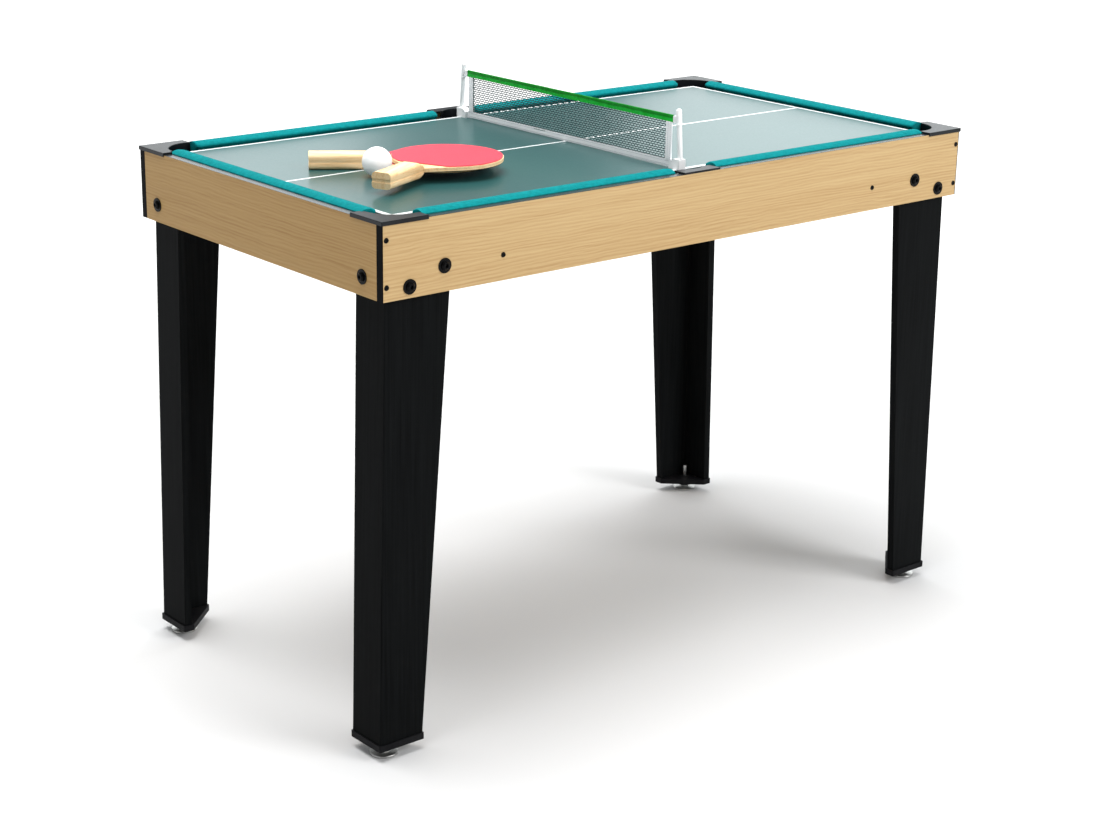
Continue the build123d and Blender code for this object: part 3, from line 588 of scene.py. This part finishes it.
def cushion_mesh(name, low, high, along, inward):
    """A cloth-covered rail cushion inside its CAD box, rounded at the two free corners of its nose."""
    length = (high - low).dot(Vector([abs(c) for c in along]))
    depth = (high - low).dot(Vector([abs(c) for c in inward]))
    centre = (low + high) / 2
    base = centre - inward * depth / 2
    section = cushion_section(depth, low.z, high.z)
    ends = [
        ROUND_END * (1 - math.cos(math.pi / 2 * i / ROUND_STEPS)) for i in range(ROUND_STEPS + 1)
    ]
    inner = length - 2 * ROUND_END
    stations = ends + [ROUND_END + inner * i / MIDDLE_STEPS for i in range(1, MIDDLE_STEPS)]
    stations += [length - s for s in reversed(ends)]
    bm = bmesh.new()
    rings = []
    for station in stations:
        from_end = min(station, length - station)
        share = min(1.0, from_end / ROUND_END)
        pull = math.sqrt(max(0.0, 1 - (1 - share) ** 2))
        reach = depth - ROUND_END * (1 - pull)
        ring = []
        for offset, height in section:
            drawn = offset * reach / depth
            droop = DROOP * (1 - pull) * (offset / depth)
            at = base + along * (station - length / 2) + inward * drawn
            ripple = CLOTH_RIPPLE * noise.noise(Vector((at.x * 28, at.y * 28, height * 60)))
            outward = 1.0 if 0 < offset < depth else 0.0
            plan = (at + inward * ripple * outward).xy
            ring.append(bm.verts.new((*plan, height - droop + ripple)))
        rings.append(ring)
    for ring, after in zip(rings, rings[1:]):
        for i in range(len(ring)):
            j = (i + 1) % len(ring)
            bm.faces.new((ring[i], ring[j], after[j], after[i]))
    bm.faces.new(list(reversed(rings[0])))
    bm.faces.new(rings[-1])
    bmesh.ops.recalc_face_normals(bm, faces=bm.faces)
    mesh = bpy.data.meshes.new(name)
    bm.to_mesh(mesh)
    bm.free()
    smooth(mesh, math.radians(50))
    return mesh


def build_cushion(node, along, inward):
    low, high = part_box(node)
    mesh = cushion_mesh(f"{node}_felt", low, high, Vector(along), Vector(inward))
    piece = new_piece(f"{node}_felt", mesh, CUSHION, "table", "cushion_cloth", node)


for side, sy in SIDES.items():
    for end in ENDS:
        build_cushion(f"cushion_{side}_{end}", (1, 0, 0), (0, -sy, 0))
for end, sx in ENDS.items():
    build_cushion(f"cushion_{end}_end", (0, 1, 0), (-sx, 0, 0))

# ---------------------------------------------------------------- bed cloth


def outline_mesh(name, loops, z, thickness):
    """A flat closed sheet from plan outlines: the first is its edge and the others are holes."""
    curve = bpy.data.curves.new(name, "CURVE")
    curve.dimensions = "2D"
    curve.fill_mode = "BOTH"
    curve.extrude = thickness / 2
    for loop in loops:
        spline = curve.splines.new("POLY")
        spline.points.add(len(loop) - 1)
        for point, (x, y) in zip(spline.points, loop):
            point.co = (x, y, 0.0, 1.0)
        spline.use_cyclic_u = True
    shape = bpy.data.objects.new(name, curve)
    bpy.context.scene.collection.objects.link(shape)
    bpy.context.view_layer.update()
    mesh = bpy.data.meshes.new_from_object(
        shape.evaluated_get(bpy.context.evaluated_depsgraph_get())
    )
    bpy.data.objects.remove(shape)
    mesh.transform(Matrix.Translation((0, 0, z)))
    bm = bmesh.new()
    bm.from_mesh(mesh)
    bmesh.ops.remove_doubles(bm, verts=bm.verts, dist=1e-6)
    bmesh.ops.recalc_face_normals(bm, faces=bm.faces)
    bm.to_mesh(mesh)
    bm.free()
    mesh.name = name
    return mesh


CORNER_HOLE_IN = 60.0 * MM  # from the apron's outside, each way
CORNER_HOLE_R = 40.0 * MM
SIDE_HOLE_IN = 46.0 * MM
SIDE_HOLE_R = 34.0 * MM


def bed_loops():
    """The bed cloth's edge, with a U-shaped notch at each side pocket, and its four corner holes."""
    half_turn = [math.pi * i / 24 for i in range(25)]
    full_turn = [2 * math.pi * i / 64 for i in range(64)]
    edge = []
    for sy in (-1, 1):
        y_edge = sy * cloth_high.y
        y_notch = sy * (HALF_W - SIDE_HOLE_IN)
        radius = sy * SIDE_HOLE_R
        edge.append((sy * cloth_high.x, y_edge))
        edge.append((radius, y_edge))
        edge += [(radius * math.cos(t), y_notch - radius * math.sin(t)) for t in half_turn]
        edge.append((-radius, y_edge))
        edge.append((-sy * cloth_high.x, y_edge))
    loops = [edge]
    for sx in (-1, 1):
        for sy in (-1, 1):
            cx = sx * (HALF_L - CORNER_HOLE_IN)
            cy = sy * (HALF_W - CORNER_HOLE_IN)
            r = CORNER_HOLE_R
            loops.append([(cx + r * math.cos(t), cy + r * math.sin(t)) for t in full_turn])
    return loops


bed_mesh = outline_mesh(
    "bed_felt", bed_loops(), (cloth_low.z + cloth_high.z) / 2, cloth_high.z - cloth_low.z
)
bed = new_piece("bed_felt", bed_mesh, BED, "table", "bed_cloth", "bed_cloth")

# ---------------------------------------------------------------- net


def tube_mesh(name, paths, sides=6):
    """Round strands along open paths, each a list of points and a radius."""
    turns = [2 * math.pi * k / sides for k in range(sides)]
    bm = bmesh.new()
    for path, radius in paths:
        rings = []
        for i, at in enumerate(path):
            before = path[max(i - 1, 0)]
            after = path[min(i + 1, len(path) - 1)]
            ahead = (after - before).normalized()
            side = ahead.cross(Vector((1, 0, 0))).normalized()
            over = ahead.cross(side)
            round_it = [(side * math.cos(t) + over * math.sin(t)) * radius for t in turns]
            rings.append([bm.verts.new(at + out) for out in round_it])
        for ring, later in zip(rings, rings[1:]):
            for k in range(sides):
                n = (k + 1) % sides
                bm.faces.new((ring[k], ring[n], later[n], later[k]))
        bm.faces.new(rings[0])
        bm.faces.new(list(reversed(rings[-1])))
    bmesh.ops.recalc_face_normals(bm, faces=bm.faces)
    mesh = bpy.data.meshes.new(name)
    bm.to_mesh(mesh)
    bm.free()
    smooth_all(mesh)
    return mesh


STRAND_R = 0.68 * MM
LINK_R = 0.34 * MM
CELL = 6.2 * MM  # along the net
CELL_STEPS = 6
ROW = 3.1 * MM
RIPPLE = 0.18 * MM  # how far the strands dip between their links
SLACK = 0.2 * MM  # how far they wander
TUCK = 2.0 * MM  # how far the strands run inside the tapes


def net_paths():
    """Strands along the net, rippling, and short links between them, half a cell further on each row."""
    bottom = mesh_low.z - TUCK
    rows = int((mesh_high.z + TUCK - bottom) / ROW)
    start, end = mesh_low.y - TUCK, mesh_high.y + TUCK
    steps = int((end - start) / CELL * CELL_STEPS)

    def strand_point(row, y):
        turn = 2 * math.pi * y / CELL + math.pi * row
        slack = SLACK * noise.noise(Vector((0.3 * row, y * 14, 1.7)))
        return Vector((slack, y, bottom + ROW * row + RIPPLE * math.sin(turn) + slack))

    paths = []
    for row in range(rows + 1):
        points = [strand_point(row, start + (end - start) * i / steps) for i in range(steps + 1)]
        paths.append((points, STRAND_R))
        if row == rows:
            continue
        shift = 0.25 - row / 2
        first = math.ceil(start / CELL - shift)
        last = math.floor(end / CELL - shift)
        for cell in range(first, last + 1):
            y = (cell + shift) * CELL
            paths.append(([strand_point(row, y), strand_point(row + 1, y)], LINK_R))
    return paths


net_cords = tube_mesh("net_mesh_cords", net_paths())
net = new_piece("net_mesh_cords", net_cords, CORD, "net", "net_cord", "net_mesh")

WALL = 0.35 * MM  # the tapes' thickness
TAPE_WAVE = 0.40 * MM
TAPE_STEP = 6 * MM


def folded_tape(bm, start, end, across, gap, width, seed):
    """A tape folded over an edge line from start to end: two leaves of a U with real thickness.

    across points from the fold to the leaves' free edges, which are width beyond the fold.
    """
    run = end - start
    length = run.length
    along = run.normalized()
    out = Vector((1, 0, 0))
    fold_r = gap / 2 + WALL
    leaf = [width * k / 4 for k in range(4, 0, -1)]
    bend = [math.pi * k / 6 for k in range(7)]

    def u_shape(radius):
        """One face of the tape: down one leaf, round the fold and up the other."""
        face = [(-radius, fold_r + d) for d in leaf]
        face += [(-radius * math.cos(t), fold_r - radius * math.sin(t)) for t in bend]
        face += [(radius, fold_r + d) for d in reversed(leaf)]
        return face

    outline = u_shape(fold_r) + list(reversed(u_shape(gap / 2)))
    count = max(4, int(length / TAPE_STEP))
    rings = []
    for i in range(count + 1):
        at = start + along * (length * i / count)
        ring = []
        for x, d in outline:
            wave = TAPE_WAVE * noise.noise(Vector((seed, length * i / count * 26, d * 30)))
            ring.append(bm.verts.new(at + out * (x + wave) + across * d))
        rings.append(ring)
    size = len(outline)
    for ring, later in zip(rings, rings[1:]):
        for k in range(size):
            n = (k + 1) % size
            bm.faces.new((ring[k], ring[n], later[n], later[k]))
    half = size // 2
    for ring in (rings[0], rings[-1]):
        for k in range(half - 1):
            bm.faces.new((ring[k], ring[k + 1], ring[size - 2 - k], ring[size - 1 - k]))


def tape_piece(name, runs, material, slot, node):
    """A piece of folded tapes; a run is (start, end, across, gap, width)."""
    bm = bmesh.new()
    for seed, run in enumerate(runs):
        folded_tape(bm, *run, seed + 0.5)
    bmesh.ops.recalc_face_normals(bm, faces=bm.faces)
    mesh = bpy.data.meshes.new(name)
    bm.to_mesh(mesh)
    bm.free()
    smooth(mesh, math.radians(60))
    return new_piece(name, mesh, material, "net", slot, node)


TAPE_DEEP = tape_high.z - tape_low.z
FOLD_GREEN = 1.6 * MM  # the gap inside the green tape's fold
FOLD_WHITE = 0.9 * MM
top_run = (
    Vector((0, tape_low.y, tape_high.z)),
    Vector((0, tape_high.y, tape_high.z)),
    Vector((0, 0, -1)),
    FOLD_GREEN,
    TAPE_DEEP - (FOLD_GREEN / 2 + WALL),
)
tape = tape_piece("net_top_tape", [top_run], TAPE_GREEN, "green_tape", "net_tape")

FOLD_OVER = FOLD_WHITE + 2.2 * WALL  # the side tapes go round the ends of the bottom one
white_fold = FOLD_WHITE / 2 + WALL
bottom_deep = mesh_low.z - binding_low.z
side_deep = mesh_low.y - binding_low.y
binding_runs = [
    (
        Vector((0, binding_low.y, binding_low.z)),
        Vector((0, binding_high.y, binding_low.z)),
        Vector((0, 0, 1)),
        FOLD_WHITE,
        bottom_deep - white_fold,
    )
]
for sy in (-1, 1):
    edge_y = sy * binding_high.y
    binding_runs.append(
        (
            Vector((0, edge_y, mesh_low.z)),
            Vector((0, edge_y, mesh_high.z)),
            Vector((0, -sy, 0)),
            FOLD_OVER,
            side_deep - white_fold,
        )
    )
binding = tape_piece("net_edge_tapes", binding_runs, TAPE_WHITE, "net_binding", "net_binding")
binding_area = 2 * bottom_deep * (binding_high.y - binding_low.y)
binding_area += 2 * (2 * side_deep * (mesh_high.z - mesh_low.z))

# ---------------------------------------------------------------- stage, lights and camera


def floor():
    """A pale floor: lit by the lamps round the table, and glowing softly further off."""
    size = 30.0
    glow_from, glow_full, glow_strength = 1.4, 4.0, 0.95
    mesh = bpy.data.meshes.new("floor")
    corners = [(-size, -size, 0), (size, -size, 0), (size, size, 0), (-size, size, 0)]
    mesh.from_pydata(corners, [], [(0, 1, 2, 3)])
    piece = bpy.data.objects.new("floor", mesh)
    bpy.context.scene.collection.objects.link(piece)
    white = (1.0, 1.0, 1.0, 1.0)
    paint = Paint("floor", Roughness=0.9, Specular_IOR_Level=0.0, Emission_Color=white)
    drift = paint.noise(paint.mapped((0.7, 0.7, 0.7)), 2.0, 0.5)
    paint.colour(paint.ramp(drift, ((0.3, (0.64, 0.64, 0.64)), (0.7, (0.66, 0.66, 0.66)))))
    away = paint.node("VectorMath", {0: paint.place}, operation="LENGTH").outputs["Value"]
    reach = {"From Min": glow_from, "From Max": glow_full, "To Min": 0.0, "To Max": glow_strength}
    glow = paint.node("MapRange", {"Value": away, **reach})
    paint.feed(paint.shader.inputs["Emission Strength"], glow.outputs["Result"])
    mesh.materials.append(paint.done())


CAMERA_AT = Vector((-2.0169, -2.3746, 1.3204))
CAMERA_AZIMUTH = math.radians(40.078)  # from +Y towards +X
CAMERA_TILT = math.radians(-18.034)
CAMERA_ROLL = math.radians(0.980)
CAMERA_LENS = 71.305  # mm, on a sensor 36 mm wide


def camera():
    data = bpy.data.cameras.new("camera")
    data.lens = CAMERA_LENS
    data.sensor_width = 36.0
    piece = bpy.data.objects.new("camera", data)
    bpy.context.scene.collection.objects.link(piece)
    looks = Euler((math.pi / 2 + CAMERA_TILT, 0.0, -CAMERA_AZIMUTH), "XYZ").to_matrix()
    roll = Matrix.Rotation(CAMERA_ROLL, 3, "Z")
    piece.rotation_mode = "QUATERNION"
    piece.location = CAMERA_AT
    piece.rotation_quaternion = (looks @ roll).to_quaternion()
    bpy.context.scene.camera = piece


def area_light(name, at, towards, width, height, radiance, colour=(1, 1, 1)):
    """A soft rectangular light of a given brightness, in watts per square metre and steradian."""
    data = bpy.data.lights.new(name, "AREA")
    data.shape = "RECTANGLE"
    data.size, data.size_y = width, height
    data.energy = radiance * math.pi * width * height
    data.color = colour
    piece = bpy.data.objects.new(name, data)
    bpy.context.scene.collection.objects.link(piece)
    piece.location = at
    piece.rotation_mode = "QUATERNION"
    piece.rotation_quaternion = (Vector(towards) - Vector(at)).to_track_quat("-Z", "Y")
    piece.visible_camera = False


def back_card(name, from_azimuth, to_azimuth, radiance):
    """An upright soft light behind the table, seen from the camera between two directions.

    The glossy board mirrors these cards and the dark gap between them.
    """
    distance = 6.5
    low, high = 0.85, 4.6
    sky = (0.95, 0.99, 1.0)
    azimuth = math.radians((from_azimuth + to_azimuth) / 2)
    half = math.radians((to_azimuth - from_azimuth) / 2)
    ahead = Vector((math.sin(azimuth), math.cos(azimuth), 0))
    at = Vector((CAMERA_AT.x, CAMERA_AT.y, (low + high) / 2)) + ahead * distance
    width = 2 * distance * math.tan(half)
    area_light(name, at, at - ahead, width, high - low, radiance, sky)


def lights():
    world = bpy.data.worlds.new("world")
    bpy.context.scene.world = world
    world.use_nodes = True
    sky = world.node_tree.nodes["Background"].inputs
    sky["Color"].default_value = (0.96, 0.98, 1.0, 1.0)
    sky["Strength"].default_value = 0.34
    area_light("key", (1.9, -4.4, 3.3), (0.1, 0.0, 0.5), 2.6, 2.2, 10.3)
    area_light("top", (-0.5, 0.2, 4.4), (-0.1, 0.0, 0.0), 3.4, 3.0, 8.8)
    back_card("back_card_left", 12.0, 35.2, 1.62)
    back_card("back_card_right", 42.0, 68.0, 1.92)


floor()
camera()
lights()
bpy.context.scene.view_settings.view_transform = "Standard"
bpy.context.scene.view_settings.look = "None"
